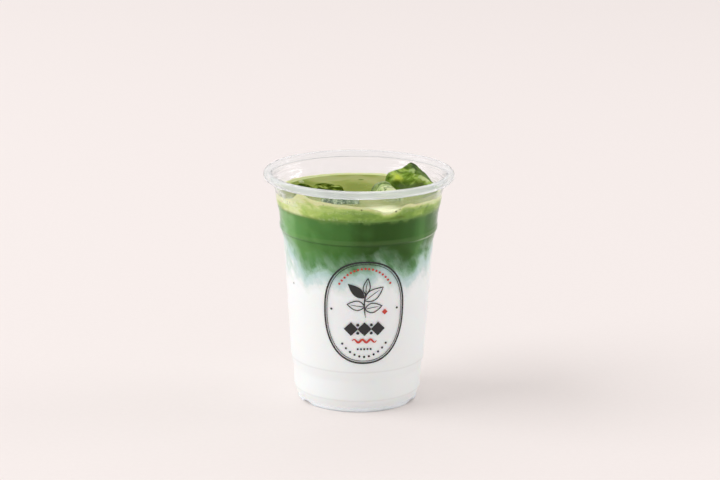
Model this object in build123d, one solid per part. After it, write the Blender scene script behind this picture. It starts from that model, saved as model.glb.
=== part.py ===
from build123d import *
import math
import os

os.makedirs("parts", exist_ok=True)

# An iced matcha latte in a clear plastic cup. Millimetres, +Z up. The table is at Z = 0, the
# cup's axis is Z, and the side that carries the printed emblem faces -Y. Angles round the cup
# are in degrees from that front, positive towards +X.

# ---- Cup: one sheet of clear plastic, drawn into steps and rolled at the rim ----
cup_height = 120.7
rim_radius = 49.0
foot_radius = 31.1
wall = 0.6

# Heights of the lower steps, up from the table.
foot_height = 2.0
low_band_bottom = 6.8
low_band_top = 17.2
body_bottom = 22.8

# How far each lower step goes out from the one below it.
low_band_step = 1.95
low_band_draft = 0.35
body_step = 1.35

# Depths of the upper steps, down from the top of the rim.
body_top_depth = 35.7
grip_bottom_depth = 29.7
grip_top_depth = 20.9
neck_bottom_depth = 15.9
flare_bottom_depth = 10.2
flare_top_depth = 4.6

# How far each upper step goes in from the one above it.
rim_overhang = 6.05
neck_draft = 0.65
neck_step = 1.25
grip_draft = 0.65
grip_step = 1.75

# The roll of the rim, the outside radius of its section and how far round it is rolled.
roll_radius = 2.1
roll_turn = 250.0

# The ring it stands on, the panel raised inside that ring, and the vents under the ring.
foot_width = 2.6
panel_rise = 3.0
panel_slant = 2.0
vent_count = 3
vent_width = 10.0
vent_height = 1.4
vent_angle = 63.5
vent_overrun = 2.0        # how far an arch is cut out past the foot
bend_radius = 1.0
foot_bend_radius = 0.8
flare_bend_radius = 4.0
roll_bend_radius = 2.0
least_bend_radius = 0.3

# ---- Drink: milk, matcha and foam, one on the other ----
headspace = 12.4          # from the top of the rim down to the foam
foam_thickness = 4.9
milk_height = 72.0        # middle of the cloudy border between milk and matcha
border_swell = 3.0        # how far that border rises and falls
border_wave_x = 9.0       # the border's waves across, from front to back, and aslant over both
border_wave_y = 12.0
border_wave_aslant = 17.0
aslant_share = 0.6        # height of the slanting wave as a share of the other two
foam_swell = 0.5          # slow waves on the foam
foam_wave_x = 8.0
foam_wave_y = 11.0
foam_creep = 1.9          # how far the foam climbs the wall
foam_creep_width = 2.6
scoop_angle = 22.0        # a hollow in the foam at the front right
scoop_spread = 9.0
scoop_depth = 1.6
scoop_width = 6.5         # how far the hollow reaches in from the wall
surface_spacing = 4.0     # between the points that shape each uneven surface

# ---- Ice: machine cubes, melted round, that stand out of the foam ----
# size is width, depth and height. The cube is tilted about its own X and Y, turned about Z, set at
# an angle round the cup with a gap to the wall there, and rises above the foam to its highest point.
ice_taper = 0.9           # the top of a cube is this share of its bottom
ice_wall_gap = 0.6        # least gap between a cube and the cup
ice_cubes = {
    "ice_back_right": dict(
        size=(24, 20, 20), roundness=2.2, tilt=(19, 23), turn=-62, angle=113, gap=0.6, rise=12.0
    ),
    "ice_middle": dict(size=(11, 21, 19), roundness=3.4, tilt=(14, 0), turn=30, angle=74, gap=17.0, rise=6.4),
    "ice_left": dict(size=(17, 24, 20), roundness=3.0, tilt=(-1, -2), turn=4, angle=-98, gap=17.6, rise=2.5),
    "ice_far_left": dict(
        size=(8, 19, 16), roundness=2.6, tilt=(-1, 4), turn=-8, angle=-102, gap=8.6, rise=2.1
    ),
    "ice_front": dict(size=(20, 13, 17), roundness=2.8, tilt=(-4, 2), turn=4, angle=-27, gap=14.5, rise=1.6),
}


def wall_outline():
    """Outer face of the sheet from the axis outwards and up to the roll, as (radius, height)."""
    low_radius = foot_radius + low_band_step
    body_low_radius = low_radius + low_band_draft + body_step
    neck_radius = rim_radius - rim_overhang
    grip_radius = neck_radius - neck_draft - neck_step
    body_high_radius = grip_radius - grip_draft - grip_step
    roll_inside = rim_radius - 2 * roll_radius + wall
    land_inside = foot_radius - foot_width
    return [
        (0, panel_rise),
        (land_inside - panel_slant, panel_rise),
        (land_inside, 0),
        (foot_radius, 0),
        (foot_radius, foot_height),
        (low_radius, low_band_bottom),
        (low_radius + low_band_draft, low_band_top),
        (body_low_radius, body_bottom),
        (body_high_radius, cup_height - body_top_depth),
        (grip_radius - grip_draft, cup_height - grip_bottom_depth),
        (grip_radius, cup_height - grip_top_depth),
        (neck_radius - neck_draft, cup_height - neck_bottom_depth),
        (neck_radius, cup_height - flare_bottom_depth),
        (roll_inside, cup_height - flare_top_depth),
        (roll_inside, cup_height - roll_radius),
    ]


def outline_bends():
    """Outside bend radius at each corner of the outline."""
    corners = len(wall_outline()) - 2
    bends = [bend_radius] * corners
    bends[1] = foot_bend_radius
    bends[2] = foot_bend_radius
    bends[-2] = flare_bend_radius
    bends[-1] = roll_bend_radius
    return bends


def left_normal(start, end):
    length = math.dist(start, end)
    return (start[1] - end[1]) / length, (end[0] - start[0]) / length


def inset(points, depth):
    """The outline moved by depth towards the inside of the cup, with mitred corners."""
    normals = [left_normal(a, b) for a, b in zip(points, points[1:])]
    befores = [normals[0]] + normals
    afters = normals + [normals[-1]]
    moved = []
    for (radius, height), before, after in zip(points, befores, afters):
        mitre = depth / (1 + before[0] * after[0] + before[1] * after[1])
        moved.append((radius + mitre * (before[0] + after[0]), height + mitre * (before[1] + after[1])))
    return moved


def inset_bends(points, bends, depth):
    """Bend radii after the inset: tighter where the outline turns inwards, wider where it turns out."""
    changed = []
    for a, b, c, bend in zip(points, points[1:], points[2:], bends):
        turn = (b[0] - a[0]) * (c[1] - b[1]) - (b[1] - a[1]) * (c[0] - b[0])
        changed.append(bend - math.copysign(depth, turn))
    return [max(bend, least_bend_radius) for bend in changed]


def turned(points, bends=()):
    """Solid of revolution between the axis and an outline, whose corners may be bent round."""
    line = FilletPolyline(*points, radius=bends) if bends else Polyline(*points)
    top = (0, points[-1][1])
    closing = Polyline(points[-1], top, points[0])
    return revolve(Plane.XZ * make_face(line + closing), Axis.Z)


def vents(extra):
    """Low arches that run out under the foot ring, grown all round by extra."""
    half_width = vent_width / 2 + extra
    height = vent_height + extra
    radius = (half_width**2 + height**2) / (2 * height)
    start = foot_radius - foot_width - 2 * panel_slant
    length = foot_radius + vent_overrun - start
    arch = Pos(0, -start, height - radius) * Rotation(90, 0, 0) * Cylinder(
        radius, length, align=(Align.CENTER, Align.CENTER, Align.MIN)
    )
    return [Rotation(0, 0, vent_angle + number * 360 / vent_count) * arch for number in range(vent_count)]


def rolled_rim():
    """The edge of the sheet, rolled outwards and down."""
    centre = (rim_radius - roll_radius, cup_height - roll_radius)
    outside = CenterArc(centre, roll_radius, 180, -roll_turn)
    inside = CenterArc(centre, roll_radius - wall, 180, -roll_turn)
    start = Line(outside @ 0, inside @ 0)
    end = Line(outside @ 1, inside @ 1)
    return revolve(Plane.XZ * make_face(outside + inside + start + end), Axis.Z)


def inner_radius(height):
    """Radius of the cup's inside at a height, above its foot."""
    points = [point for point in inset(wall_outline(), wall) if point[1] > 2 * wall + foot_height]
    for (low_r, low_z), (high_r, high_z) in zip(points, points[1:]):
        if low_z <= height <= high_z:
            return low_r + (high_r - low_r) * (height - low_z) / (high_z - low_z)
    return points[-1][0]


def below(height_at, depth):
    """Solid that hangs down by depth from an uneven surface wider than the cup."""
    reach = rim_radius + surface_spacing
    count = math.ceil(2 * reach / surface_spacing)
    steps = [reach * (2 * index / count - 1) for index in range(count + 1)]
    rows = [[Vector(x, y, height_at(x, y)) for x in steps] for y in steps]
    surface = Face.make_surface_from_array_of_points(rows)
    return Solid.extrude(surface, Vector(0, 0, -depth))


def border_height(x, y):
    """Border between milk and matcha: slow swells that meet at odd angles."""
    square = math.sin(x / border_wave_x + 0.8) * math.cos(y / border_wave_y)
    aslant = aslant_share * math.sin((x + 2 * y) / border_wave_aslant)
    return milk_height + border_swell * (square + aslant) / (1 + aslant_share)


def foam_height(x, y):
    """Top of the foam: nearly level, climbing the wall, with one hollow beside the wall."""
    level = cup_height - headspace
    reach = math.hypot(x, y)
    angle = math.degrees(math.atan2(x, -y))
    inside = inner_radius(level)
    from_wall = max(inside - reach, 0)
    wave = foam_swell * math.sin(x / foam_wave_x + 1.0) * math.sin(y / foam_wave_y + 0.5)
    creep = foam_creep * math.exp(-((from_wall / foam_creep_width) ** 2))
    near_wall = math.exp(-((from_wall / scoop_width) ** 2))
    scoop = scoop_depth * math.exp(-(((angle - scoop_angle) / scoop_spread) ** 2)) * near_wall
    return level + wave + creep - scoop


def ice_cube(size, roundness, tilt, turn, angle, gap, rise):
    """One melted cube in its place beside the wall."""
    width, depth, height = size
    low = Rectangle(width, depth)
    high = Pos(0, 0, height) * Rectangle(width * ice_taper, depth * ice_taper)
    cube = loft([low, high])
    cube = fillet(cube.edges(), roundness)
    cube = Rotation(0, 0, turn - angle) * Rotation(*tilt, 0) * cube
    box = cube.bounding_box()
    level = cup_height - headspace
    side = (box.min.X + box.max.X) / 2
    front = inner_radius(level) - gap
    return Rotation(0, 0, angle) * Pos(-side, -front - box.min.Y, level + rise - box.max.Z) * cube


# ---- Cup ----
outline = wall_outline()
bends = outline_bends()
inner_outline = inset(outline, wall)
inner_bends = inset_bends(outline, bends, wall)
cavity = turned(inner_outline, inner_bends)
for vent in vents(wall):
    cavity -= vent
cup = turned(outline, bends)
for vent in vents(0):
    cup -= vent
cup = cup - cavity + rolled_rim()

# ---- Ice, each cube kept off the wall and cut where it meets one made before it ----
room = [point for point in inset(outline, wall + ice_wall_gap) if point[1] > body_bottom]
room = [(0, body_bottom), (room[0][0], body_bottom)] + room + [(room[-1][0], 2 * cup_height)]
inside = turned(room)
ice = {}
for name, shape in ice_cubes.items():
    cube = ice_cube(**shape) & inside
    for other in ice.values():
        cube -= other
    ice[name] = cube

# ---- Milk, matcha and foam fill the inside up to their levels, round the ice ----
foam_bottom = cup_height - headspace - foam_thickness
upper = Pos(0, 0, foam_bottom) * Cylinder(
    rim_radius, cup_height, align=(Align.CENTER, Align.CENTER, Align.MIN)
)
under_border = below(border_height, cup_height)
milk = cavity & under_border
matcha = cavity - under_border - upper
foam = cavity & upper & below(foam_height, cup_height)
for cube in ice.values():
    milk -= cube
    matcha -= cube
    foam -= cube

solids = {"cup": cup, "milk": milk, "matcha": matcha, "foam": foam} | ice
for name, solid in solids.items():
    export_step(solid, f"parts/{name}.step")
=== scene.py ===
import math
import random

import bmesh
import bpy
from mathutils import Matrix, Vector, noise


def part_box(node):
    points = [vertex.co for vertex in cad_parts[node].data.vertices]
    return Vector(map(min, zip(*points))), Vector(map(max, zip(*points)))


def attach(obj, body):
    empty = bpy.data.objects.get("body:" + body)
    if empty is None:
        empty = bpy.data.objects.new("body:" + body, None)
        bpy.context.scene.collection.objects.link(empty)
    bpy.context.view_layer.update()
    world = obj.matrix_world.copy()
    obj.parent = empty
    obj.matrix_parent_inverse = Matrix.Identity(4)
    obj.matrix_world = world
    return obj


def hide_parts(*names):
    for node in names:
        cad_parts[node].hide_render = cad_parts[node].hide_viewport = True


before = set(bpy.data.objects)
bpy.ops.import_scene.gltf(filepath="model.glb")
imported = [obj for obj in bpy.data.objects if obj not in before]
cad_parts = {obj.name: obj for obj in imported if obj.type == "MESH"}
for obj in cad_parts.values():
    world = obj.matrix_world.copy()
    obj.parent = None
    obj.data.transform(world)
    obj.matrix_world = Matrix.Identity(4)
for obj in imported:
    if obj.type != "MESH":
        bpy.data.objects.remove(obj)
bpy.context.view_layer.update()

# An iced matcha latte in a clear plastic cup, in metres. The cup's axis is Z and the emblem faces
# -Y. Angles round the cup are in degrees from that front, positive towards +X.

MM = 0.001

# ---- Sizes of the cup, from the frame and from the steps of its wall ----
cup_low, cup_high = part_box("cup")
foam_low, foam_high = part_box("foam")
CUP_HEIGHT = cup_high[2]
RIM_RADIUS = cup_high[0]
FOAM_BOTTOM = foam_low[2]
FOAM_LEVEL = CUP_HEIGHT - 12.4 * MM
WALL = 0.6 * MM
ROLL_RADIUS = 2.1 * MM
ROLL_TURN = math.radians(250)
FOOT_RADIUS = 31.1 * MM
FOOT_WIDTH = 2.6 * MM
PANEL_RISE = 3.0 * MM
PANEL_SLANT = 2.0 * MM
VENT_COUNT = 3
VENT_WIDTH = 10.0 * MM
VENT_HEIGHT = 1.4 * MM
VENT_ANGLE = 63.5
VENT_REACH = 2.5 * MM     # how far up the foot the vents change it
# Steps near the foot as (radius, height), and near the rim as (inset from it, depth below it).
LOW_STEPS = [(31.1, 2.0), (33.05, 6.8), (33.4, 17.2), (34.75, 22.8)]
HIGH_STEPS = [(10.35, 35.7), (8.6, 29.7), (7.95, 20.9), (6.7, 15.9), (6.05, 10.2)]
# Bead along the lower corner of the wide band, as (rise, height) from that corner.
BEAD = [(-0.12, -0.4), (0.28, 0.2), (0.32, 2.4), (0.08, 3.2)]
FLARE_DEPTH = 4.6 * MM
BEND = 1.0 * MM           # how far from a corner its bend starts
RIM_HAZE_DEPTH = 4.4 * MM # how far down the rim looks milky
FOOT_HAZE_RISE = 2.4 * MM # and how far up the foot does
INTO_WALL = 0.15 * MM     # how far the drink reaches into the wall
TURNS = 192               # faces round the milk and the matcha
CUP_TURNS = 320           # faces round the cup, whose rim bends what is behind it
ICE_CUTS = 40             # lines across each face of an ice cube
ICE_GAP = 1.2 * MM        # least room between ice and wall
FOAM_DIP = 0.7 * MM       # how far the foam's middle lies below its edge
FILM = 0.5 * MM           # how thick the film is that the foam leaves on the wall
FILM_FOOT = 1.8 * MM      # and how thick it is where it meets the foam
MILK_HEIGHT = 72.0 * MM
MILK_SIDE = 66.0 * MM     # up to where the milk's side follows the wall's own points
BORDER_SWELL = 3.0 * MM


# ---- Outlines ----
def cup_outline():
    """Outer face of the wall from the axis outwards and up to the roll, as (radius, height)."""
    land = FOOT_RADIUS - FOOT_WIDTH
    roll_inside = RIM_RADIUS - 2 * ROLL_RADIUS + WALL
    points = [(0, PANEL_RISE), (land - PANEL_SLANT, PANEL_RISE), (land, 0), (FOOT_RADIUS, 0)]
    points += [(radius * MM, height * MM) for radius, height in LOW_STEPS]
    points += [(RIM_RADIUS - inset * MM, CUP_HEIGHT - depth * MM) for inset, depth in HIGH_STEPS]
    corner = points.index((RIM_RADIUS - HIGH_STEPS[1][0] * MM, CUP_HEIGHT - HIGH_STEPS[1][1] * MM))
    radius, height = points[corner]
    points[corner : corner + 1] = [(radius + rise * MM, height + up * MM) for rise, up in BEAD]
    points += [(roll_inside, CUP_HEIGHT - FLARE_DEPTH), (roll_inside, CUP_HEIGHT - ROLL_RADIUS)]
    return points


def moved_in(points, depth):
    """The outline moved by depth towards the inside of the cup, with mitred corners."""
    normals = []
    for (r0, z0), (r1, z1) in zip(points, points[1:]):
        length = math.hypot(r1 - r0, z1 - z0)
        normals.append(((z0 - z1) / length, (r1 - r0) / length))
    moved = []
    for point, before, after in zip(points, [normals[0]] + normals, normals + [normals[-1]]):
        mitre = depth / (1 + before[0] * after[0] + before[1] * after[1])
        radius, height = (point[i] + mitre * (before[i] + after[i]) for i in range(2))
        moved.append((radius, height))
    return moved


def bent(points, steps=5):
    """The outline with each corner bent round."""
    line = [points[0]]
    for (r0, z0), (r1, z1), (r2, z2) in zip(points, points[1:], points[2:]):
        before = math.hypot(r1 - r0, z1 - z0)
        after = math.hypot(r2 - r1, z2 - z1)
        reach = min(BEND, before * 0.4, after * 0.4)
        start = (r1 + (r0 - r1) * reach / before, z1 + (z0 - z1) * reach / before)
        end = (r1 + (r2 - r1) * reach / after, z1 + (z2 - z1) * reach / after)
        for step in range(steps + 1):
            t = step / steps
            weights = ((1 - t) ** 2, 2 * t * (1 - t), t * t)
            radius = weights[0] * start[0] + weights[1] * r1 + weights[2] * end[0]
            height = weights[0] * start[1] + weights[1] * z1 + weights[2] * end[1]
            line.append((radius, height))
    line.append(points[-1])
    return line


def divided(points, longest):
    """The line with points added so that no span is longer than longest."""
    line = [points[0]]
    for (r0, z0), (r1, z1) in zip(points, points[1:]):
        count = max(1, math.ceil(math.hypot(r1 - r0, z1 - z0) / longest))
        for step in range(1, count + 1):
            t = step / count
            line.append((r0 + (r1 - r0) * t, z0 + (z1 - z0) * t))
    return line


def radius_at(points, height):
    """Radius of an outline's rising part at a height."""
    rising = points[3:]
    for (r0, z0), (r1, z1) in zip(rising, rising[1:]):
        if z0 <= height <= z1:
            return r0 + (r1 - r0) * (height - z0) / (z1 - z0)
    return rising[0][0] if height < rising[0][1] else rising[-1][0]


OUTER = cup_outline()
INNER = moved_in(OUTER, WALL)
DRINK_SIDE = moved_in(OUTER, WALL - INTO_WALL)
BEAD_CORNER = CUP_HEIGHT - HIGH_STEPS[1][1] * MM
FOAM_EDGE = radius_at(INNER, FOAM_LEVEL) - FILM_FOOT     # where the foam's top meets its film


def smooth_step(value):
    value = min(max(value, 0.0), 1.0)
    return value * value * (3 - 2 * value)


def degrees_apart(angle, other):
    """Degrees from one angle to another, the short way round."""
    return (other - angle + 180) % 360 - 180


def swelling(curve, angle):
    """A level with swells and dips round the cup: each has its angle, its rise and its width."""
    total, swells = curve
    for place, rise, width in swells:
        total += rise * math.exp(-((degrees_apart(place, angle) / width) ** 2))
    return total


# ---- Meshes ----
def in_scene(name, data):
    thing = bpy.data.objects.new(name, data)
    bpy.context.scene.collection.objects.link(thing)
    return thing


def add_object(name, mesh, material, slot, *nodes, smooth=True):
    """Puts a finished bmesh in the scene as a piece that rides with the cup."""
    bmesh.ops.recalc_face_normals(mesh, faces=mesh.faces)
    data = bpy.data.meshes.new(name)
    mesh.to_mesh(data)
    mesh.free()
    if smooth:
        data.shade_smooth()
        data.set_sharp_from_angle(angle=math.radians(50))
    data.materials.append(material)
    piece = in_scene(name, data)
    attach(piece, "root")
    if nodes:
        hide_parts(*nodes)
    return piece


def bridge(mesh, low, high):
    """Faces between two closed rings of vertices, either of which may be a single vertex."""
    count = max(len(low), len(high))
    for index in range(count):
        after = (index + 1) % count
        if len(low) == 1:
            mesh.faces.new((low[0], high[index], high[after]))
        elif len(high) == 1:
            mesh.faces.new((low[index], low[after], high[0]))
        else:
            mesh.faces.new((low[index], low[after], high[after], high[index]))


def turned(rows, place, turns=TURNS):
    """A skin of rings round the axis. place(row, angle) gives a point. The first and last rings
    are single points on the axis."""
    mesh = bmesh.new()
    rings = []
    for row in range(rows):
        pole = row in (0, rows - 1)
        count = 1 if pole else turns
        rings.append([mesh.verts.new(place(row, 360 * turn / turns - 180)) for turn in range(count)])
    for low, high in zip(rings, rings[1:]):
        bridge(mesh, low, high)
    return mesh


def at(radius, angle, height):
    """Point in the frame at an angle round the cup."""
    turn = math.radians(angle)
    return Vector((radius * math.sin(turn), -radius * math.cos(turn), height))


# ---- Materials ----
class Nodes:
    """Short ways to build one material's node tree."""

    def __init__(self, name):
        self.material = bpy.data.materials.new(name)
        self.material.use_nodes = True
        self.tree = self.material.node_tree
        self.tree.nodes.clear()
        self.output = self.tree.nodes.new("ShaderNodeOutputMaterial")

    def add(self, kind, **settings):
        node = self.tree.nodes.new("ShaderNode" + kind)
        for key, value in settings.items():
            setattr(node, key, value)
        return node

    def join(self, source, target):
        self.tree.links.new(source, target)

    def put(self, value, socket):
        """A link where value is a socket, and a plain setting otherwise."""
        if isinstance(value, bpy.types.NodeSocket):
            self.join(value, socket)
        else:
            socket.default_value = value

    def math(self, operation, *values, clamp=False):
        node = self.add("Math", operation=operation, use_clamp=clamp)
        for value, socket in zip(values, node.inputs):
            self.put(value, socket)
        return node.outputs[0]

    def times(self, *values):
        return self.math("MULTIPLY", *values)

    def plus(self, *values, clamp=False):
        return self.math("ADD", *values, clamp=clamp)

    def between(self, value, start, end):
        """0 where value is at start and 1 where it is at end."""
        return self.math("DIVIDE", self.math("SUBTRACT", value, start), end - start, clamp=True)

    def spread(self, noise, amount):
        """Noise turned into one that goes as far below nothing as above it, times amount."""
        return self.times(self.math("SUBTRACT", noise, 0.5), amount)

    def coordinates(self):
        return self.add("TexCoord").outputs["Object"]

    def xyz(self):
        parts = self.add("SeparateXYZ")
        self.join(self.coordinates(), parts.inputs[0])
        return parts.outputs

    def height(self):
        return self.xyz()[2]

    def distance(self, place):
        apart = self.add("VectorMath", operation="DISTANCE")
        self.join(self.coordinates(), apart.inputs[0])
        apart.inputs[1].default_value = place
        return apart.outputs["Value"]

    def noise(self, scale, detail=3.0, roughness=0.5, distortion=0.0, vector=None, colour=False):
        node = self.add("TexNoise")
        settings = dict(Scale=scale, Detail=detail, Roughness=roughness, Distortion=distortion)
        for key, value in settings.items():
            node.inputs[key].default_value = value
        self.join(vector or self.coordinates(), node.inputs["Vector"])
        return node.outputs[1 if colour else 0]

    def stretched(self, scale):
        node = self.add("Mapping")
        node.inputs["Scale"].default_value = scale
        self.join(self.coordinates(), node.inputs["Vector"])
        return node.outputs[0]

    def ramp(self, value, stops, interpolation="EASE"):
        """Colours at places from 0 to 1, each colour as it looks, in 0 to 255."""
        node = self.add("ValToRGB")
        ramp = node.color_ramp
        ramp.interpolation = interpolation
        while len(ramp.elements) < len(stops):
            ramp.elements.new(1.0)
        for element, (place, colour) in zip(ramp.elements, stops):
            element.position = place
            element.color = linear(*colour)
        self.join(value, node.inputs[0])
        return node.outputs[0]

    def mix(self, factor, first, second):
        """Mix of two colours, each a socket or a colour as it looks."""
        node = self.add("Mix", data_type="RGBA")
        self.put(factor, node.inputs[0])
        for value, socket in ((first, node.inputs[6]), (second, node.inputs[7])):
            self.put(value if isinstance(value, bpy.types.NodeSocket) else linear(*value), socket)
        return node.outputs[2]

    def bump(self, height, strength, distance):
        node = self.add("Bump")
        node.inputs["Strength"].default_value = strength
        node.inputs["Distance"].default_value = distance
        self.join(height, node.inputs["Height"])
        return node.outputs[0]

    def principled(self, **inputs):
        """A Principled shader; underscores in names stand for spaces."""
        node = self.add("BsdfPrincipled")
        for key, value in inputs.items():
            self.put(value, node.inputs[key.replace("_", " ")])
        return node.outputs[0]

    def blend(self, share, first, second):
        """Mix of two shaders, with share of the second."""
        node = self.add("MixShader")
        self.put(share, node.inputs[0])
        self.join(first, node.inputs[1])
        self.join(second, node.inputs[2])
        return node.outputs[0]

    def let_light_through(self, shader, tint):
        """The shader as it is seen, but one that only tints the light on its way to what is behind."""
        path = self.add("LightPath")
        straight = self.math("MAXIMUM", path.outputs["Is Shadow Ray"], path.outputs["Is Diffuse Ray"])
        passing = self.add("BsdfTransparent")
        passing.inputs["Color"].default_value = tint
        return self.blend(straight, shader, passing.outputs[0])

    def finish(self, shader):
        self.join(shader, self.output.inputs["Surface"])
        return self.material


def linear(red, green, blue):
    """Colour as it looks, in 0 to 255, turned into a socket's value."""
    def one(value):
        value /= 255
        return value / 12.92 if value <= 0.04045 else ((value + 0.055) / 1.055) ** 2.4
    return one(red), one(green), one(blue), 1.0


THROUGH_PLASTIC = (0.97, 0.98, 0.98, 1.0)     # what is left of light that has passed the wall


def clear_plastic(
    name, ior, haze=None, rough=0.03, waves=0.02 * MM, wave_scale=60.0, wave_shape=(1, 1, 1)
):
    """Clear plastic: refracts what is seen, lets the lamps light what is behind it, and is
    milky by the share that haze gives, if any. Slow waves in its face bend the reflections."""
    make = Nodes(name)
    ripple = make.noise(wave_scale, detail=2.0, vector=make.stretched(wave_shape))
    glass = make.principled(
        Base_Color=(0.985, 0.99, 0.995, 1.0),
        Roughness=rough,
        IOR=ior,
        Transmission_Weight=1.0,
        Normal=make.bump(ripple, 1.0, waves),
    )
    if haze is None:
        return make.finish(make.let_light_through(glass, THROUGH_PLASTIC))
    cloud = make.principled(Base_Color=linear(246, 249, 254), Roughness=0.3, Specular_IOR_Level=0.1)
    glow = make.add("BsdfTranslucent")
    glow.inputs["Color"].default_value = linear(244, 249, 255)
    cloud = make.blend(0.55, cloud, glow.outputs[0])
    streaks = make.noise(60.0, detail=1.0, vector=make.stretched((1.0, 1.0, 3.0)))
    share = make.times(make.plus(streaks, 0.5), haze(make))
    return make.finish(make.let_light_through(make.blend(share, glass, cloud), THROUGH_PLASTIC))


def rim_haze_and_sheen(make):
    """The rim is milkier at the front, where green is behind it: partly frosted plastic, partly a
    painted reflection of the bright sky.
    """
    front = make.between(make.xyz()[1], 20 * MM, -40 * MM)
    return make.plus(make.times(front, 0.26), 0.05)


def neck_haze(make):
    """A dried film of foam clouds the neck at the front left."""
    side = around(make, NECK_FILM)
    low = make.between(make.height(), FOAM_LEVEL + 8.0 * MM, FOAM_LEVEL + 2.0 * MM)
    patchy = make.between(make.noise(130.0, detail=3.0), 0.35, 0.65)
    film = make.times(make.times(side, low), patchy)
    return make.plus(make.times(film, 0.6), 0.02)


def foot_haze(make):
    return make.plus(make.times(make.noise(300.0), 0.2), 0.6)


def ice_material(
    name, top, dark, middle, light, scale,
    clear=0.03, shine=0.06, shells=None, painted_crest_shade=None, shade_facet=None, spots=(),
):
    """Melting ice in matcha: a little clear, mostly cloudy, in greens that swirl through it.
    Shells are bands of colour round a place; spots are patches of painted highlight and painted shade; a
    shade facet and a crest shade are painted shade beyond a plane and along the top edge."""
    make = Nodes(name)
    swirl = make.noise(scale, detail=4.0, roughness=0.55, distortion=1.6)
    cloudy = make.ramp(swirl, [(0.34, dark), (0.47, middle), (0.60, light), (0.80, middle)])
    stray = make.spread(make.noise(260.0, detail=2.0), 6 * MM)
    if shells:
        place, reach, stops = shells
        away = make.plus(make.distance(place), stray)
        bands = make.ramp(make.between(away, 0.0, reach * MM), stops, "LINEAR")
        cloudy = make.mix(0.9, cloudy, bands)
    # Painted shade on the part of the cube beyond a plane.
    if shade_facet:
        place, direction, colour = shade_facet
        beyond = make.add("VectorMath", operation="DOT_PRODUCT")
        make.join(make.coordinates(), beyond.inputs[0])
        beyond.inputs[1].default_value = direction
        over = make.math("SUBTRACT", beyond.outputs["Value"], place.dot(direction))
        share = make.between(make.plus(over, stray), 0.0, 0.8 * MM)
        cloudy = make.mix(make.times(share, 0.8), cloudy, colour)
    # Spots: mostly painted highlights and painted shade.
    for place, radius, colour in spots:
        away = make.plus(make.distance(place), stray)
        share = make.between(away, radius * MM, radius * MM * 0.3)
        cloudy = make.mix(make.times(share, 0.9), cloudy, colour)
    # Painted shade: a dark line along the cube's top edge.
    if painted_crest_shade:
        height = make.plus(make.height(), stray)
        cloudy = make.mix(make.between(height, top - 1.2 * MM, top - 0.4 * MM), cloudy, painted_crest_shade)
    waves = make.noise(scale * 1.3, detail=3.0, distortion=0.5)
    normal = make.bump(waves, 0.5, 0.5 * MM)
    glass = make.principled(
        Base_Color=(0.90, 0.97, 0.80, 1.0),
        Roughness=0.04,
        IOR=1.31,
        Transmission_Weight=1.0,
        Normal=normal,
    )
    core = make.principled(
        Base_Color=cloudy,
        Roughness=0.15,
        Specular_IOR_Level=shine,
        Subsurface_Weight=0.1,
        Subsurface_Scale=1.0 * MM,
        Normal=normal,
    )
    return make.finish(make.let_light_through(make.blend(clear, core, glass), (0.75, 0.85, 0.6, 1.0)))


def around(make, curve, low=0.0, high=1.0, scale=1.0, base=0.0):
    """Value that follows a level with swells round the cup, times scale, above base."""
    across, deep, _ = make.xyz()
    bearing = make.math("ARCTAN2", across, make.times(deep, -1.0))
    turn = make.plus(make.math("DIVIDE", bearing, 2 * math.pi), 0.5)
    node = make.add("FloatCurve")
    places = []
    for angle in range(-180, 181, CURVE_STEP):
        value = swelling(curve, angle) * scale + base
        places.append((angle / 360 + 0.5, (value - low) / (high - low)))
    line = node.mapping.curves[0]
    line.points[0].location = places[0]
    line.points[1].location = places[-1]
    for spot in places[1:-1]:
        line.points.new(*spot)
    node.mapping.update()
    make.join(turn, node.inputs["Value"])
    return make.plus(make.times(node.outputs[0], high - low), low)


# Curves round the cup, each a level and its swells as (angle, rise, width).
# Height in millimetres at which matcha gives way to milk. Milk climbs at both sides of the front and
# in two plumes right of the middle, with a tongue of matcha between them.
BORDER = (77.0, [
    (-80, 14.0, 20), (-44, -4.0, 8), (-14, -1.8, 9), (18, 3.5, 5), (25, 1.2, 4), (42, -3.5, 9),
    (58, 4.5, 4), (80, 8.0, 13), (140, 4.0, 20), (180, 3.0, 20), (-120, 3.0, 14),
])
BORDER_REACH = 15 * MM    # how far above and below the border the two still mix
# How strong a thin veil of matcha is below that border, and the heights between which it fades.
VEIL = (0.3, [(-65, 0.65, 20), (0, 0.15, 30), (64, 0.3, 20)])
VEIL_LOW = 64 * MM
VEIL_HIGH = 76 * MM
# How dense the matcha looks, from 0 where it is pale to 1 where it is darkest: partly real density,
# partly painted light, paler at the lit left, darker right of the middle, and a narrow pale streak of
# painted reflection at 51 degrees.
DENSITY_AND_LIGHT = (0.74, [(-68, -0.72, 24), (-30, -0.24, 18), (18, 0.26, 24), (51, -0.36, 5)])
# How far the foam climbs the wall, in millimetres above its level. The low place is a creamy dip.
CLIMB = (1.5, [
    (-41, 3.0, 6), (-34, 4.0, 20), (-5, 2.2, 16), (21, -2.2, 7), (34, 1.8, 6), (50, 1.1, 14),
    (180, -0.9, 60),
])
# How pale the foam is against the wall.
FOAM_PALE = (0.35, [(-55, 0.54, 28), (22, -0.20, 34), (180, -0.2, 50)])
# Dark holes in the foam, as (angle, millimetres above its level, radius).
FOAM_HOLES = [
    (2.0, 1.8, 0.6), (26.0, 0.2, 0.7), (29.0, 1.0, 0.4), (-24.0, 3.6, 0.4), (47.0, 0.6, 0.5),
    (120, 0.2, 0.6),
]
# Patches on top of the foam, as (distance from the axis, angle, radius, colour).
FOAM_PATCHES = [(37.0, 19, 17.0, (246, 250, 200)), (32.0, 178.2, 2.4, (96, 112, 44))]
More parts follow.
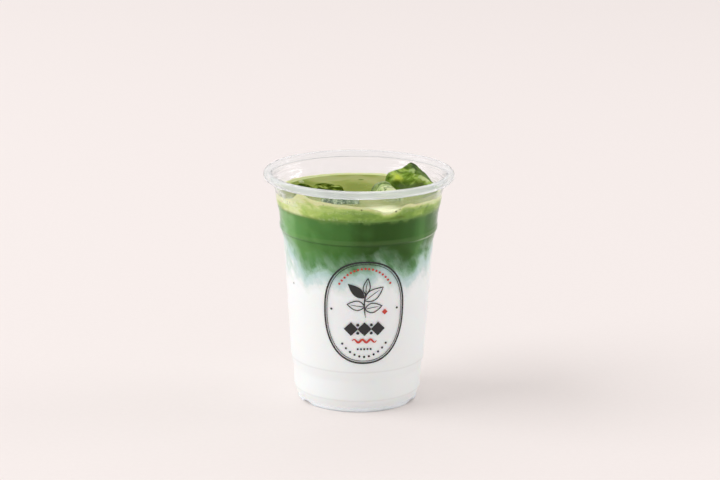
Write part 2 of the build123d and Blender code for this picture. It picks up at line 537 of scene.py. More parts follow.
# How much painted highlight the bead's corner gets where it would catch the window, and where a film of
# dried foam clouds the neck.
CAUGHT_HIGHLIGHT = (0.0, [(60, 1.0, 14)])
NECK_FILM = (0.05, [(-66, 0.95, 16), (64, 0.2, 16)])
SPECK_ANGLE = -62         # where a speck of powder sticks to the milk's side
SPECK_HEIGHT = 65 * MM
CURVE_STEP = 4            # degrees between the points that a node's curve is given
UNDER_FOAM = (108, 142, 70)     # the green where foam and matcha meet


def drink_material(name):
    """Milk below and matcha above, which run into each other in cloudy wisps."""
    make = Nodes(name)
    across, deep, height = make.xyz()
    # Wisps: clouds of noise, pulled about by slower noise.
    place = make.add("VectorMath", operation="MULTIPLY_ADD")
    make.join(make.noise(70.0, detail=3.0, colour=True), place.inputs[0])
    place.inputs[1].default_value = (20 * MM, 20 * MM, 20 * MM)
    make.join(make.coordinates(), place.inputs[2])
    wisp = make.spread(make.noise(170.0, detail=6.0, roughness=0.6, vector=place.outputs[0]), 7.8 * MM)
    # Streaks that sink slantwise, towards the right.
    slanted = make.add("CombineXYZ")
    make.join(make.plus(across, make.times(height, 0.6)), slanted.inputs[0])
    make.join(deep, slanted.inputs[1])
    make.join(make.times(height, 0.4), slanted.inputs[2])
    slanted = slanted.outputs[0]
    streak = make.noise(210.0, detail=4.0, roughness=0.6, distortion=1.2, vector=slanted)
    streak = make.spread(streak, 6.0 * MM)
    border = around(make, BORDER, 60 * MM, 100 * MM, MM)
    above = make.math("SUBTRACT", make.plus(height, make.plus(wisp, streak)), border)
    mixed = make.between(above, -BORDER_REACH, BORDER_REACH)
    wisps = make.ramp(
        mixed,
        [
            (0.08, (246, 250, 250)), (0.20, (238, 243, 242)), (0.31, (210, 227, 227)),
            (0.42, (186, 212, 209)), (0.49, (152, 187, 164)), (0.55, (112, 157, 116)),
            (0.61, (90, 136, 88)),
        ],
    )
    # A thin green veil hangs lower, most of it at the left.
    veil = make.between(make.plus(height, make.times(streak, 1.6)), VEIL_LOW, VEIL_HIGH)
    threads = make.noise(240.0, detail=4.0, vector=slanted)
    veil = make.times(veil, make.between(threads, 0.38, 0.62))
    wisps = make.mix(make.times(veil, around(make, VEIL)), wisps, (184, 212, 198))
    # Matcha green, with its painted light and painted reflection.
    colour = make.mix(make.between(mixed, 0.50, 0.84), wisps, matcha_and_painted_light(make))
    # Painted light and shade where the wall's bead and steps lie.
    colour = painted_wall_light_and_shade(make, colour, height)
    # One speck of powder against the wall.
    speck = make.distance(at(radius_at(DRINK_SIDE, SPECK_HEIGHT), SPECK_ANGLE, SPECK_HEIGHT))
    near_speck = make.between(speck, 0.8 * MM, 0.2 * MM)
    colour = make.mix(make.times(near_speck, 0.8), colour, (70, 84, 80))
    # Foam hangs into the top of the matcha here and there.
    drips = make.noise(320.0, detail=3.0, vector=make.stretched((1.0, 1.0, 0.2)))
    hanging = make.plus(height, make.spread(drips, 5.0 * MM))
    hung = make.between(hanging, FOAM_BOTTOM - 1.6 * MM, FOAM_BOTTOM + 0.4 * MM)
    colour = make.mix(make.times(hung, 0.8), colour, UNDER_FOAM)
    shader = make.principled(
        Base_Color=colour,
        Roughness=0.5,
        Specular_IOR_Level=0.0,
        Subsurface_Weight=0.25,
        Subsurface_Scale=2.0 * MM,
    )
    return make.finish(shader)


def matcha_and_painted_light(make):
    """Green that is denser in some places round the cup and paler by painted light at the lit left and
    by a painted reflection at the right, with slow patches and upright bands.
    """
    patches = make.noise(60.0, detail=3.0, distortion=1.0)
    bands = make.noise(150.0, detail=1.0, vector=make.stretched((1.0, 1.0, 0.15)))
    uneven = make.math("MULTIPLY_ADD", make.math("SUBTRACT", patches, 0.5), 0.35, -0.15)
    uneven = make.math("MULTIPLY_ADD", bands, 0.30, uneven)
    return make.ramp(
        make.plus(around(make, DENSITY_AND_LIGHT), uneven),
        [
            (0.0, (122, 172, 104)), (0.3, (92, 144, 72)), (0.65, (66, 112, 46)),
            (1.0, (44, 80, 18)),
        ],
    )


def painted_wall_light_and_shade(make, colour, height):
    """Painted light and shade for what the wall's bead and steps do to the colour behind them."""

    def painted_level_line(level, none, full, strength, painted_colour):
        """The colour with a painted line of light or shade at a level: none of it so many millimetres
        away, and full nearer.
        """
        away = make.math("ABSOLUTE", make.math("SUBTRACT", height, level))
        share = make.times(make.between(away, none * MM, full * MM), strength)
        return make.mix(share, colour, painted_colour)

    # The bead is a paler band of painted light. The corner under it has a dark line of painted shade,
    # with a painted highlight where it would catch the window.
    colour = painted_level_line(BEAD_CORNER + 1.2 * MM, 1.3, 0.8, 0.09, (150, 180, 120))
    corner = make.mix(around(make, CAUGHT_HIGHLIGHT), (36, 66, 26), (196, 214, 180))
    colour = painted_level_line(BEAD_CORNER + BEAD[0][1] * MM, 0.6, 0.1, 0.55, corner)
    # The two lowest slopes end in faint grey lines of painted shade on the milk.
    for _, step in (LOW_STEPS[3], LOW_STEPS[1]):
        colour = painted_level_line((step - 0.2) * MM, 0.7, 0.1, 0.22, (206, 204, 200))
    return colour


def foam_top(make, mottle):
    """Colour of the foam from above."""
    slow = make.noise(45.0, detail=2.0, distortion=0.6)
    colour = make.ramp(
        slow, [(0.35, (128, 140, 70)), (0.5, (141, 152, 80)), (0.65, (160, 166, 106))]
    )
    for reach, angle, radius, patch_colour in FOAM_PATCHES:
        away = make.distance(at(reach * MM, angle, FOAM_LEVEL))
        away = make.plus(away, make.times(mottle, radius * 0.3 * MM))
        share = make.between(away, radius * MM, radius * 0.5 * MM)
        colour = make.mix(share, colour, patch_colour)
    return colour


def foam_side(make, mottle, height):
    """Colour of the foam against the wall: pale at the film's edge, then deeper downwards."""
    below_edge = make.math("SUBTRACT", around(make, CLIMB, 100 * MM, 120 * MM, MM, FOAM_LEVEL), height)
    pale = around(make, FOAM_PALE)
    shade = make.math("MULTIPLY_ADD", pale, 0.9, 0.09)
    shade = make.plus(shade, make.between(below_edge, 3.0 * MM, 0.0))
    shade = make.plus(shade, make.spread(mottle, 1.4), clamp=True)
    colour = make.ramp(
        shade,
        [
            (0.0, (98, 124, 48)), (0.18, (124, 156, 70)), (0.40, (146, 177, 84)),
            (0.64, (176, 199, 106)), (0.86, (204, 216, 140)), (1.0, (216, 224, 166)),
        ],
    )
    ragged = make.plus(height, make.spread(mottle, 1.5 * MM))
    colour = make.mix(make.between(ragged, FOAM_BOTTOM + 1.5 * MM, FOAM_BOTTOM), colour, UNDER_FOAM)
    # Bubbles caught against the wall show as small pale rings.
    cells = make.add("TexVoronoi")
    cells.inputs["Scale"].default_value = 620.0
    make.join(make.coordinates(), cells.inputs["Vector"])
    from_ring = make.math("ABSOLUTE", make.math("SUBTRACT", cells.outputs["Distance"], 0.3))
    few = make.times(make.between(make.noise(170.0, detail=1.0), 0.5, 0.6), pale)
    ring = make.times(make.between(from_ring, 0.12, 0.02), few)
    colour = make.mix(make.times(ring, 0.55), colour, (236, 240, 206))
    # A few burst bubbles leave dark holes.
    for angle, rise, radius in FOAM_HOLES:
        level = FOAM_LEVEL + rise * MM
        away = make.distance(at(radius_at(DRINK_SIDE, level), angle, level))
        hole = make.between(away, radius * MM, radius * 0.5 * MM)
        colour = make.mix(make.times(hole, 0.8), colour, (72, 92, 36))
    return colour


def foam_material(name):
    """Foam of fine bubbles: olive on top, and pale to deep green where the wall presses it flat."""
    make = Nodes(name)
    across, deep, height = make.xyz()
    mottle = make.noise(
        130.0, detail=4.0, roughness=0.55, distortion=0.4, vector=make.stretched((1, 1, 2.0))
    )
    reach = make.plus(make.times(across, across), make.times(deep, deep))
    outward = make.math(
        "MAXIMUM",
        make.between(make.math("POWER", reach, 0.5), FOAM_EDGE + 0.1 * MM, FOAM_EDGE + 0.9 * MM),
        make.between(height, FOAM_LEVEL + 0.5 * MM, FOAM_LEVEL + 1.0 * MM),
    )
    shader = make.principled(
        Base_Color=make.mix(outward, foam_top(make, mottle), foam_side(make, mottle, height)),
        Roughness=0.35,
        Specular_IOR_Level=0.0,
        Subsurface_Weight=0.2,
        Subsurface_Scale=1.5 * MM,
        Normal=make.bump(make.noise(1400.0, detail=2.0), 0.15, 0.2 * MM),
    )
    return make.finish(shader)


THIN_INK = 0.93           # how dark the ink is where its coat is uneven


def print_material(name, colour):
    """Ink: one colour, with a slightly uneven coat."""
    make = Nodes(name)
    coat = make.noise(2500.0, detail=2.0)
    darker = tuple(value * THIN_INK for value in colour)
    shader = make.principled(Base_Color=make.mix(coat, darker, colour), Roughness=0.4)
    return make.finish(shader)


# ---- The cup ----
def vent_lift(angle):
    """Height of the arch under the foot ring at an angle."""
    radius = (VENT_WIDTH**2 / 4 + VENT_HEIGHT**2) / (2 * VENT_HEIGHT)
    lift = 0.0
    for number in range(VENT_COUNT):
        from_vent = degrees_apart(VENT_ANGLE + number * 360 / VENT_COUNT, angle)
        along = math.radians(from_vent) * FOOT_RADIUS
        if abs(along) < VENT_WIDTH / 2:
            lift = math.sqrt(radius**2 - along**2) - radius + VENT_HEIGHT
    return lift


def over_vent(radius, height, angle, above=0.0):
    """Height of a point of the foot, lifted over the vents where they are, and above them."""
    if height >= VENT_REACH or radius <= FOOT_RADIUS - FOOT_WIDTH - PANEL_SLANT:
        return height
    lift = vent_lift(angle)
    return max(height, lift + above) if lift else height


def roll_point(radius, turn):
    """Point on the roll's section, with turn counted from its outer side."""
    across = RIM_RADIUS - ROLL_RADIUS + radius * math.cos(turn)
    return across, CUP_HEIGHT - ROLL_RADIUS + radius * math.sin(turn)


def roll_arc(radius, start, end, steps):
    """Points on the roll's section from one turn to another."""
    return [roll_point(radius, start + (end - start) * step / steps) for step in range(steps + 1)]


def build_cup():
    """One sheet: up the outside, round inside the roll, back over the roll and down the inside."""
    outside = divided(bent(OUTER), 2.0 * MM)
    inside = divided(bent(INNER), 2.0 * MM)
    end = math.pi - ROLL_TURN
    inner_roll = roll_arc(ROLL_RADIUS - WALL, math.pi, end, 26)
    lip = [roll_point(ROLL_RADIUS - WALL / 2, end - 0.10)]
    outer_roll = roll_arc(ROLL_RADIUS, end, math.pi, 34)
    section = outside[:-1] + inner_roll + lip + outer_roll + inside[::-1][1:]
    halfway = len(outside) + len(inner_roll)

    def place(row, angle):
        radius, height = section[row]
        return at(radius, angle, over_vent(radius, height, angle, WALL if row > halfway else 0.0))

    wall = clear_plastic("clear_plastic", 1.28)
    cup = add_object("cup_wall", turned(len(section), place, CUP_TURNS), wall, "cup_plastic", "cup")
    cup.data.materials.append(clear_plastic("clear_plastic_rim", 1.18, rim_haze_and_sheen, rough=0.10))
    neck = clear_plastic("clear_plastic_neck", 1.45, neck_haze, 0.06, 1.2 * MM, 400.0, (0.08, 0.08, 1.0))
    cup.data.materials.append(neck)
    cup.data.materials.append(clear_plastic("clear_plastic_foot", 1.36, foot_haze))
    for face in cup.data.polygons:
        if face.center.z > CUP_HEIGHT - RIM_HAZE_DEPTH:
            face.material_index = 1
        elif face.center.z > FOAM_LEVEL:
            face.material_index = 2
        elif face.center.z < FOOT_HAZE_RISE:
            face.material_index = 3
    return cup


# ---- The drink ----
def border_at(x, y):
    """Height of the border between milk and matcha."""
    x /= MM
    y /= MM
    swell = math.sin(x / 9.0 + 0.8) * math.cos(y / 12.0) + 0.6 * math.sin((x + 2 * y) / 17.0)
    return MILK_HEIGHT + BORDER_SWELL * swell / 1.6


def on_border(share, angle):
    """Point of the border at a share of the way from the axis to the wall."""
    spot = at(radius_at(DRINK_SIDE, MILK_HEIGHT) * share, angle, 0)
    return Vector((spot.x, spot.y, border_at(spot.x, spot.y)))


def build_milk(material):
    side = [point for point in divided(bent(DRINK_SIDE), 3.0 * MM) if point[1] < MILK_SIDE]
    top_rows = 6
    rings = 8
    rows = len(side) + top_rows + rings

    def place(row, angle):
        if row < len(side):
            radius, height = side[row]
            return at(radius, angle, over_vent(radius, height, angle, WALL - INTO_WALL))
        row -= len(side)
        if row < top_rows:
            low = side[-1][1]
            height = low + (on_border(1, angle).z - low) * (row + 1) / top_rows
            return at(radius_at(DRINK_SIDE, height), angle, height)
        return on_border(1 - (row - top_rows + 1) / rings, angle)

    return add_object("milk_body", turned(rows, place), material, "milk", "milk")


def build_matcha(material):
    side_rows = 24
    rings = 8
    rows = rings + side_rows + rings

    def place(row, angle):
        if row < rings:
            return on_border(row / rings, angle)
        row -= rings
        if row < side_rows:
            low = on_border(1, angle).z
            height = low + (FOAM_BOTTOM - low) * row / (side_rows - 1)
            return at(radius_at(DRINK_SIDE, height), angle, height)
        share = 1 - (row - side_rows + 1) / rings
        return at(radius_at(DRINK_SIDE, FOAM_BOTTOM) * share, angle, FOAM_BOTTOM)

    return add_object("matcha_body", turned(rows, place), material, "matcha", "matcha")


def relief(x, y):
    """How far the foam's uneven top stands above or below its level."""
    spot = Vector((x, y, 0))
    slow = noise.fractal(spot * 90, 1.0, 2.0, 3) * 0.35 * MM
    fine = noise.noise(spot * 600) * 0.06 * MM
    return slow + fine


def build_foam():
    floor_rings = 4
    side_rows = 16
    film_rows = 10
    rings = 70
    rows = floor_rings + side_rows + film_rows + rings

    def place(row, angle):
        top = FOAM_LEVEL + swelling(CLIMB, angle) * MM
        top += noise.noise(at(1.0, angle, 0) * 9) * 0.35 * MM
        if row < floor_rings:
            return at(radius_at(DRINK_SIDE, FOAM_BOTTOM) * row / floor_rings, angle, FOAM_BOTTOM)
        row -= floor_rings
        if row < side_rows:
            height = FOAM_BOTTOM + (top - FOAM_BOTTOM) * row / (side_rows - 1)
            return at(radius_at(DRINK_SIDE, height), angle, height)
        row -= side_rows
        if row < film_rows:
            down = (row + 0.5) / film_rows
            height = top + (FOAM_LEVEL - top) * down
            thick = FILM * min(1.0, 3 * down) + (FILM_FOOT - FILM) * down**4
            return at(radius_at(INNER, height) - thick, angle, height)
        share = 1 - (row - film_rows + 1) / rings
        spot = at(FOAM_EDGE * share, angle, 0)
        drop = FOAM_DIP * smooth_step((1 - share) * 6)
        uneven = relief(spot.x, spot.y) * smooth_step((1 - share) * 10)
        return Vector((spot.x, spot.y, FOAM_LEVEL - drop + uneven))

    return add_object("foam_body", turned(rows, place, 320), foam_material("foam"), "foam", "foam")


# ---- The ice ----
# Size, roundness, tilt, turn and how uneven each cube is, in millimetres and degrees.
# A cut takes off an edge: its direction from the cube's middle, and how far out the flat lies.
# A hollow is melted into a face: its place from the cube's middle, its radius and its depth.
# A spot is a patch of colour, mostly painted highlight or painted shade: its place from the cube's
# middle, its radius and its colour.
# Shells are the layers of cloud in a cube: their middle, the reach of the last, and colours.
# A shade facet is the part of a cube beyond a plane, darkened as painted shade: a place on the plane,
# the way out and a colour.
# A crest shade is painted shade along a cube's top edge, in the colour given.
DARK_OLIVE = (58, 80, 16)
# Painted highlight along the big cube's ridge.
RIDGE_HIGHLIGHT = (192, 206, 146)
ICE = {
    "ice_back_right": dict(
        size=(24, 22, 20), roundness=1.8, tilt=(19, 23), turn=-62, waves=0.9, shift=(0.8, 0.5, 0.0),
        cuts=[((0.0, 0.70, 0.72), 12.1), ((-0.7, -0.7, 0.1), 13.6)],
        hollows=[
            ((-12, 4, 10), 6.0, 0.8), ((1, -3, 10), 6.0, 1.4), ((6, 2, 10), 4.0, 0.8),
            ((3, 10, 7), 4.0, 0.9), ((-9, 6.5, 10), 2.5, -0.6),
        ],
        look=dict(
            dark=(66, 94, 22), middle=(112, 142, 50), light=(158, 182, 90), scale=150.0,
            shine=0.0, shade_facet=((-1, 5.4, 10), (-0.3, 0.95, 0.0), (78, 102, 46)),
            spots=[
                ((-5.0, -4.4, 10), 4.0, (196, 212, 78)), ((2.4, -4.5, 8), 6.2, DARK_OLIVE),
                ((-0.5, -8, 9.5), 4.6, DARK_OLIVE), ((5.5, 1.5, 9), 5.0, (58, 72, 12)),
                ((-3.5, 1.0, 10), 2.2, (84, 112, 38)), ((-10, -9.5, 9), 4.0, (92, 116, 44)),
                ((-10.5, 5.0, 10), 2.2, (120, 152, 76)), ((-10.5, 9.0, 8.5), 3.4, (34, 52, 12)),
                ((-5.5, 7.5, 9.8), 2.6, (52, 74, 22)), ((-1.5, 9.0, 8.2), 2.4, (76, 96, 46)),
                ((2.5, 8.6, 8.6), 2.0, (100, 126, 72)), ((8.0, 11.0, 6.2), 3.4, (46, 64, 26)),
                ((-5.2, 4.6, 10), 1.3, (160, 184, 112)), ((-3.0, 4.5, 10), 1.4, (176, 196, 130)),
                ((-1.0, 4.6, 10), 1.5, RIDGE_HIGHLIGHT), ((1.6, 5.1, 10), 1.6, (172, 192, 128)),
                ((4.2, 6.0, 10), 1.8, RIDGE_HIGHLIGHT), ((6.8, 7.1, 10), 1.9, (200, 212, 158)),
                ((9.4, 8.2, 9.8), 2.1, RIDGE_HIGHLIGHT),
            ],
        ),
    ),
    "ice_middle": dict(
        size=(12, 21, 20), roundness=5.2, tilt=(14, 0), turn=30, waves=0.7, shift=(-0.3, 0.0, 0.0),
        look=dict(
            dark=(116, 144, 74), middle=(176, 194, 124), light=(214, 224, 172), scale=160.0,
            shells=((-1, -5, 9), 12, [
                (0.0, (208, 218, 168)), (0.36, (204, 214, 164)), (0.40, (74, 108, 38)),
                (0.44, (210, 222, 166)), (0.52, (180, 200, 132)), (0.56, (66, 100, 32)),
                (0.61, (196, 212, 148)), (0.70, (146, 172, 98)), (0.78, (62, 92, 26)),
                (0.86, (142, 164, 90)), (1.0, (62, 92, 26)),
            ]),
        ),
    ),
    "ice_left": dict(
        size=(17, 24, 20), roundness=3.0, tilt=(-1, -2), turn=4, waves=1.3, shift=(-0.8, 0.0, 0.2),
        look=dict(
            dark=(60, 78, 14), middle=(112, 130, 48), light=(156, 170, 90), scale=230.0,
            painted_crest_shade=(52, 68, 10), clear=0.0, shine=0.0,
        ),
    ),
    "ice_far_left": dict(
        size=(9, 19, 16), roundness=2.8, tilt=(-1, 4), turn=-8, waves=1.1, shift=(-0.8, 0.0, 0.4),
        look=dict(
            dark=(62, 80, 16), middle=(98, 116, 38), light=(138, 152, 74), scale=250.0,
            painted_crest_shade=(48, 64, 8), clear=0.0, shine=0.0,
        ),
    ),
    "ice_front": dict(
        size=(21, 14, 17), roundness=2.8, tilt=(-4, 2), turn=4, waves=0.9, shift=(-1.0, 0.0, 0.0),
        look=dict(
            dark=(34, 68, 30), middle=(80, 108, 64), light=(190, 206, 166), scale=300.0,
            clear=0.0, shine=0.01,
        ),
    ),
}


def ice_point(spot, half, inner, roundness, cuts, hollows, waves, seed):
    """Where a point of the plain cube ends up on the melted one."""
    core = Vector([min(max(spot[i], -inner[i]), inner[i]) for i in range(3)])
    out = (spot - core).normalized()
    spot = core + out * roundness * MM
    for direction, reach in cuts:
        direction = Vector(direction).normalized()
        over = spot.dot(direction) - reach * MM
        if over > 0:
            spot -= direction * over * 0.92
    for place, radius, depth in hollows:
        apart = (spot - Vector(place) * MM).length / (radius * MM)
        spot -= out * depth * MM * math.exp(-apart * apart)
    wave = noise.noise(spot * 120 + seed) * waves + noise.noise(spot * 300 + seed) * waves * 0.35
    spot += out * wave * MM
    taper = 1 - 0.05 * spot.z / half.z
    return Vector((spot.x * taper, spot.y * taper, spot.z))


def build_ice(name, size, roundness, tilt, turn, waves, look, shift=(0, 0, 0), cuts=(), hollows=()):
    """A melted cube: rounded edges, slow waves over its faces, set where the frame has it."""
    half = Vector(size) * MM / 2
    inner = half - Vector((roundness, roundness, roundness)) * MM
    mesh = bmesh.new()
    bmesh.ops.create_cube(mesh, size=2.0)
    bmesh.ops.subdivide_edges(mesh, edges=mesh.edges, cuts=ICE_CUTS, use_grid_fill=True)
    turning = Matrix.Rotation(math.radians(turn), 3, "Z")
    turning = turning @ Matrix.Rotation(math.radians(tilt[0]), 3, "X")
    turning = turning @ Matrix.Rotation(math.radians(tilt[1]), 3, "Y")
    seed = Vector(size) * 3.7
    for vertex in mesh.verts:
        spot = Vector([vertex.co[i] * half[i] for i in range(3)])
        spot = ice_point(spot, half, inner, roundness, cuts, hollows, waves, seed)
        vertex.co = turning @ spot
    low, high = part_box(name)
    top = max(vertex.co.z for vertex in mesh.verts)
    move = Vector(((low[0] + high[0]) / 2, (low[1] + high[1]) / 2, high[2] - top)) + Vector(shift) * MM
    for vertex in mesh.verts:
        vertex.co += move
        reach = radius_at(INNER, vertex.co.z) - ICE_GAP
        out = math.hypot(vertex.co.x, vertex.co.y)
        if out > reach:
            vertex.co.x *= reach / out
            vertex.co.y *= reach / out

    def in_frame(place):
        return turning @ (Vector(place) * MM) + move

    look = dict(look, spots=[(in_frame(place), *rest) for place, *rest in look.get("spots", ())])
    if "shade_facet" in look:
        place, direction, colour = look["shade_facet"]
        look["shade_facet"] = (in_frame(place), turning @ Vector(direction).normalized(), colour)
    if "shells" in look:
        look["shells"] = (in_frame(look["shells"][0]), *look["shells"][1:])
    return add_object(name + "_melted", mesh, ice_material(name, high[2], **look), "ice", name)


def carve(piece, cubes):
    """Leaves room in a piece for the ice, which is then seen to its depth."""
    for cube in cubes:
        cut = piece.modifiers.new("room_for_ice", "BOOLEAN")
        cut.operation = "DIFFERENCE"
        cut.solver = "EXACT"
        cut.object = cube
    graph = bpy.context.evaluated_depsgraph_get()
    carved = bpy.data.meshes.new_from_object(piece.evaluated_get(graph))
    piece.modifiers.clear()
    piece.data = carved


# ---- Bubbles on the foam ----
BUBBLES_AT_WALL = 60
BUBBLES_AT_ICE = 16       # beside each cube
BUBBLES_LOOSE = 24
LARGE_BUBBLE = (38.3, -128, 1.7)     # distance from the axis, angle and radius


def bubble_material(name):
    """A thin wet skin with foam behind it."""
    make = Nodes(name)
    tint = make.mix(make.noise(500.0), (206, 216, 150), (236, 240, 206))
    skin = make.principled(Base_Color=tint, Roughness=0.04, IOR=1.33, Transmission_Weight=0.5)
    return make.finish(make.let_light_through(skin, (0.9, 0.95, 0.8, 1.0)))


def build_bubbles(cubes):
    chance = random.Random(7)
    spots = []
    for _ in range(BUBBLES_AT_WALL):
        reach = radius_at(INNER, FOAM_LEVEL) - chance.uniform(1.4, 2.6) * MM
        spots.append((at(reach, chance.uniform(-180, 180), 0), chance.uniform(0.2, 0.55)))
    for cube in cubes:
        near = [vertex.co for vertex in cube.data.vertices if abs(vertex.co.z - FOAM_LEVEL) < 0.8 * MM]
        middle = sum(near, Vector()) / len(near)
        for _ in range(BUBBLES_AT_ICE):
            edge = chance.choice(near)
            out = (edge - middle).normalized() * chance.uniform(0.2, 1.0) * MM
            spots.append((edge + out, chance.uniform(0.2, 0.6)))
    for _ in range(BUBBLES_LOOSE):
        reach = radius_at(INNER, FOAM_LEVEL) * math.sqrt(chance.random()) * 0.9
        spots.append((at(reach, chance.uniform(-180, 180), 0), chance.uniform(0.15, 0.35)))
    reach, angle, radius = LARGE_BUBBLE
    spots.append((at(reach * MM, angle, 0), radius))
    mesh = bmesh.new()
    for place, radius in spots:
        if math.hypot(place.x, place.y) > radius_at(INNER, FOAM_LEVEL) - (radius + 0.6) * MM:
            continue
        height = FOAM_LEVEL - FOAM_DIP + relief(place.x, place.y) + radius * 0.2 * MM
        move = Matrix.Translation((place.x, place.y, height)) @ Matrix.Diagonal((1, 1, 0.7, 1))
        bmesh.ops.create_icosphere(mesh, subdivisions=2, radius=radius * MM, matrix=move)
    return add_object("foam_bubbles", mesh, bubble_material("bubble_skin"), "foam")


# ---- The emblem: a plain oval frame round a sprig of tea, printed on the outside ----
EMBLEM_ANGLE = 5.5
EMBLEM_HEIGHT = 55.0 * MM
EMBLEM_HALF = (20.8, 27.0)       # half its width and height, in millimetres
FRAME_GAP = 1.15                 # from the frame's thick line to its thin one
DOTS_HALF_HEIGHT = 23.6          # of the rows of dots that follow the frame
LOZENGE_ROW = -8.6               # height of the lozenges' middles
LOZENGE_PITCH = 7.0
# The sprig's outlined leaves as (base, tip, width), its bud first, and the filled one.
LEAVES = [
    ((0.3, 10.0), (1.4, 18.5), 3.4), ((0.0, 6.5), (9.2, 13.5), 5.4), ((0.1, 2.0), (8.8, 3.6), 5.0),
    ((-0.2, 3.5), (-9.0, 4.6), 5.0),
]
DARK_LEAF = ((-0.4, 8.0), (-8.6, 15.6), 4.8)
INK_LIFT = 0.02 * MM
INK_DEPTH = 0.05 * MM


def on_print(x, y, lift):
    """Point on the outside of the cup, x and y millimetres from the middle of the emblem."""
    height = EMBLEM_HEIGHT + y * MM
    radius = radius_at(OUTER, height)
    middle = radius_at(OUTER, EMBLEM_HEIGHT)
    return at(radius + lift, EMBLEM_ANGLE + math.degrees(x * MM / middle), height)


def ribbon(mesh, points, width, closed=False):
    """A printed line along points, as a thin closed band."""
    count = len(points)
    rings = []
    for index, (x, y) in enumerate(points):
        before = points[index - 1] if index or closed else points[0]
        after = points[(index + 1) % count] if index < count - 1 or closed else points[-1]
        along = Vector((after[0] - before[0], after[1] - before[1])).normalized()
        share = 1.0 if closed else min(1.0, 0.35 + 3.0 * min(index, count - 1 - index) / count)
        side = Vector((-along.y, along.x)) * width * share / 2
        corners = [(x + side.x, y + side.y), (x - side.x, y - side.y)]
        ring = [mesh.verts.new(on_print(*corner, INK_LIFT + INK_DEPTH)) for corner in corners]
        ring += [mesh.verts.new(on_print(*corner, INK_LIFT)) for corner in reversed(corners)]
        rings.append(ring)
    pairs = zip(rings, rings[1:] + rings[:1]) if closed else zip(rings, rings[1:])
    for ring, following in pairs:
        bridge(mesh, ring, following)
    if not closed:
        mesh.faces.new(rings[0])
        mesh.faces.new(list(reversed(rings[-1])))


def patch(mesh, outline, rings=5):
    """A printed area inside an outline, as a thin closed plate that follows the cup."""
    middle = (sum(x for x, _ in outline) / len(outline), sum(y for _, y in outline) / len(outline))
    edges = []
    for lift in (INK_LIFT + INK_DEPTH, INK_LIFT):
        inner = [mesh.verts.new(on_print(*middle, lift))]
        for ring in range(1, rings + 1):
            share = ring / rings
            outer = []
            for spot in outline:
                x, y = (centre + (value - centre) * share for centre, value in zip(middle, spot))
                outer.append(mesh.verts.new(on_print(x, y, lift)))
            bridge(mesh, inner, outer)
            inner = outer
        edges.append(inner)
    bridge(mesh, *edges)


def oval(half_width, half_height, count, power=2.3):
    """Points along an oval that is a little squarer than an ellipse."""
    def out(value):
        return math.copysign(abs(value) ** (2 / power), value)

    turns = [2 * math.pi * index / count for index in range(count)]
    return [(half_width * out(math.sin(turn)), half_height * out(math.cos(turn))) for turn in turns]


def leaf(base, tip, width, count=16):
    """Outline of a leaf from its base to its tip."""
    base, tip = Vector(base), Vector(tip)
    along = tip - base
    side = Vector((-along.y, along.x)).normalized()
    edges = []
    for sign in (1, -1):
        edge = []
        for index in range(count):
            t = index / count if sign == 1 else 1 - index / count
            swell = math.sin(math.pi * t**0.8) * width / 2
            edge.append(tuple(base + along * t + side * sign * swell))
        edges += edge
    return edges


def line(start, end, count, bow):
    """Points from start to end, bowed sideways by bow."""
    start, end = Vector(start), Vector(end)
    side = Vector((start.y - end.y, end.x - start.x)).normalized()
    points = []
    for index in range(count + 1):
        t = index / count
        points.append(tuple(start.lerp(end, t) + side * bow * math.sin(math.pi * t)))
    return points


def build_emblem():
    black = bmesh.new()
    width, height = EMBLEM_HALF
    ribbon(black, oval(width, height, 160), 0.85, closed=True)
    ribbon(black, oval(width - FRAME_GAP, height - FRAME_GAP, 160), 0.32, closed=True)
    ribbon(black, line((0.4, -2.5), (0.6, 12.0), 24, 0.8), 0.6)
    for base, tip, across in LEAVES:
        ribbon(black, leaf(base, tip, across), 0.5, closed=True)
        ribbon(black, line(base, Vector(base).lerp(Vector(tip), 0.8), 10, 0.2), 0.34)
    patch(black, leaf(*DARK_LEAF))
    for index in range(3):
        dot(black, LOZENGE_PITCH * (index - 1), LOZENGE_ROW, 3.7, 4)
    for index in range(2):
        for rise in (2.2, -2.2):
            dot(black, LOZENGE_PITCH * (index - 0.5), LOZENGE_ROW + rise, 0.8)
    for index in range(5):
        dot(black, 1.7 * (index - 2), -19.4, 0.55)
    dots_round(black, 11, 9.0, 180, 16.4)
    for side in (-1, 1):
        dot(black, 17.2 * side, 1.6)
    add_object("emblem_black", black, print_material("ink_black", (30, 30, 32)), "print", smooth=False)

    red = bmesh.new()
    dots_round(red, 17, 6.2, 0, 16.8)
    ribbon(red, [(-6.4 + 12.8 * t / 40, -15.0 + 0.8 * math.sin(t * 0.47)) for t in range(41)], 1.1)
    dot(red, 10.4, 0.2, 1.5, 4)
    add_object("emblem_red", red, print_material("ink_red", (206, 62, 48)), "print", smooth=False)


def dot(mesh, x, y, radius=0.6, count=10):
    """A printed dot, or a lozenge where count is four."""
    patch(mesh, oval_at(x, y, radius, count))


def dots_round(mesh, count, step, middle, half_width):
    """Dots inside the frame, step degrees apart, about the middle one's angle."""
    for index in range(count):
        turn = math.radians(middle + step * (index - (count - 1) / 2))
        dot(mesh, half_width * math.sin(turn), DOTS_HALF_HEIGHT * math.cos(turn))


def oval_at(x, y, radius, count):
    """Outline of a round dot."""
    turns = [2 * math.pi * index / count for index in range(count)]
    return [(x + radius * math.sin(turn), y + radius * math.cos(turn)) for turn in turns]


# ---- Stage, light and camera ----
CAMERA_PLACE = (0.0, -1.150, 0.393)
CAMERA_DOWN = 15.07       # degrees below level
CAMERA_TURN = -0.04       # degrees to the side
CAMERA_ROLL = 0.51
LENS = 115.35             # in millimetres, as the sensor's width is
SENSOR_WIDTH = 36.0
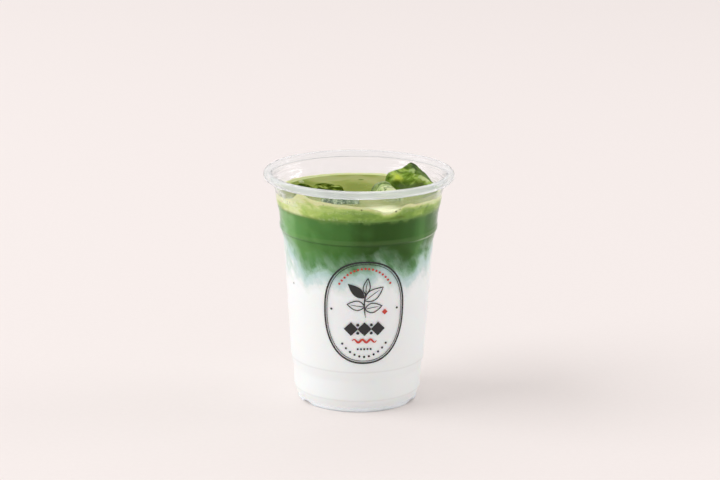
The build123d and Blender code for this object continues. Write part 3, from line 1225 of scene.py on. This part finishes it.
# A large soft lamp high at the left, and a narrow one at the right that the wall reflects.
LAMPS = {
    "key": dict(place=(-3.3, -0.40, 2.7), target=(0, 0.2, 0.06), size=(3.4, 3.0), power=83.0),
    "window": dict(place=(1.9, 0.35, 0.75), target=(0, 0, 0.06), size=(0.9, 0.25), power=5.0),
}
WORLD_FRONT = 0.75        # strength of the world in front of the cup
WORLD_BACK = 0.96         # and behind it


def build_stage():
    mesh = bmesh.new()
    bmesh.ops.create_grid(mesh, x_segments=8, y_segments=8, size=6.0)
    data = bpy.data.meshes.new("floor")
    mesh.to_mesh(data)
    mesh.free()
    floor = in_scene("floor", data)
    make = Nodes("floor_paper")
    grain = make.noise(400.0, detail=2.0)
    paper = make.mix(grain, (236, 229, 227), (239, 232, 230))
    shader = make.principled(Base_Color=paper, Roughness=0.9, Specular_IOR_Level=0.1)
    data.materials.append(make.finish(shader))
    world = bpy.context.scene.world or bpy.data.worlds.new("studio")
    bpy.context.scene.world = world
    world.use_nodes = True
    nodes, links = world.node_tree.nodes, world.node_tree.links
    background = nodes["Background"]
    background.inputs["Color"].default_value = linear(250, 247, 246)
    place = nodes.new("ShaderNodeTexCoord")
    parts = nodes.new("ShaderNodeSeparateXYZ")
    links.new(place.outputs["Generated"], parts.inputs[0])
    level = nodes.new("ShaderNodeMapRange")
    level.interpolation_type = "SMOOTHSTEP"
    settings = {"From Min": -0.8, "From Max": 0.8, "To Min": WORLD_FRONT, "To Max": WORLD_BACK}
    for socket, value in settings.items():
        level.inputs[socket].default_value = value
    links.new(parts.outputs[1], level.inputs["Value"])
    links.new(level.outputs[0], background.inputs["Strength"])


def add_lamp(name, place, target, size, power):
    data = bpy.data.lights.new(name, "AREA")
    data.shape = "RECTANGLE"
    data.size, data.size_y = size
    data.energy = power
    lamp = in_scene(name, data)
    lamp.location = place
    lamp.rotation_euler = (Vector(target) - Vector(place)).to_track_quat("-Z", "Y").to_euler()


def add_camera():
    data = bpy.data.cameras.new("camera")
    data.sensor_width = SENSOR_WIDTH
    data.lens = LENS
    camera = in_scene("camera", data)
    turn = Matrix.Rotation(math.radians(CAMERA_TURN), 4, "Z")
    turn = turn @ Matrix.Rotation(math.radians(90 - CAMERA_DOWN), 4, "X")
    turn = turn @ Matrix.Rotation(math.radians(CAMERA_ROLL), 4, "Z")
    camera.matrix_world = Matrix.Translation(CAMERA_PLACE) @ turn
    bpy.context.scene.camera = camera


add_camera()
build_stage()
for lamp, settings in LAMPS.items():
    add_lamp(lamp, **settings)
drink = drink_material("milk_and_matcha")
build_milk(drink)
matcha = build_matcha(drink)
foam = build_foam()
cubes = [build_ice(name, **shape) for name, shape in ICE.items()]
carve(foam, cubes)
carve(matcha, cubes)
build_bubbles(cubes)
build_cup()
build_emblem()

bpy.context.scene.view_settings.view_transform = "Standard"
